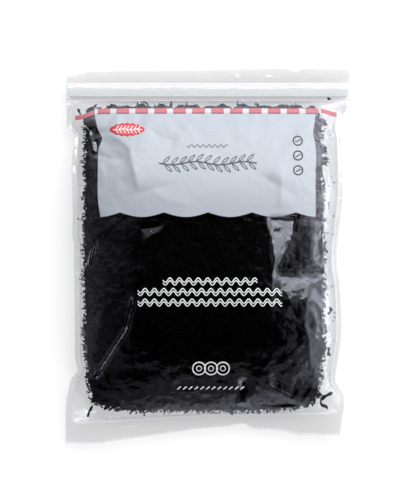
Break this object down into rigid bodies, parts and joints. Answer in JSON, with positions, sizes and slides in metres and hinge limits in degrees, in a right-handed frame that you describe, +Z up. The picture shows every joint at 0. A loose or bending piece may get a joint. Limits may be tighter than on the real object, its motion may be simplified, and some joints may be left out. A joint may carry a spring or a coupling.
{
  "type": "pouch of dried wakame",
  "caption": "Clear press-zip pouch filled with dried cut wakame, lying flat on its back.",
  "frame": {"origin": "on the surface it lies on, under the middle of the pouch's box", "axes": "+X across the pouch to the reader's right, +Y from the foot weld to the zip header, +Z up out of the printed front"},
  "size_m": [0.2852, 0.3768, 0.0551],
  "materials": {
    "printed_film": "gloss",
    "clear_film": "gloss",
    "zip_plastic": "satin",
    "dried_wakame": "matte"
  },
  "bodies": {
    "root": {"front_film": "printed_film", "back_film": "clear_film", "zip_channel": "zip_plastic", "zip_rib": "zip_plastic", "wakame": "dried_wakame", "loose_flake_1": "dried_wakame", "loose_flake_2": "dried_wakame", "loose_flake_3": "dried_wakame", "loose_flake_4": "dried_wakame", "loose_flake_5": "dried_wakame", "loose_flake_6": "dried_wakame"}
  },
  "joints": []
}
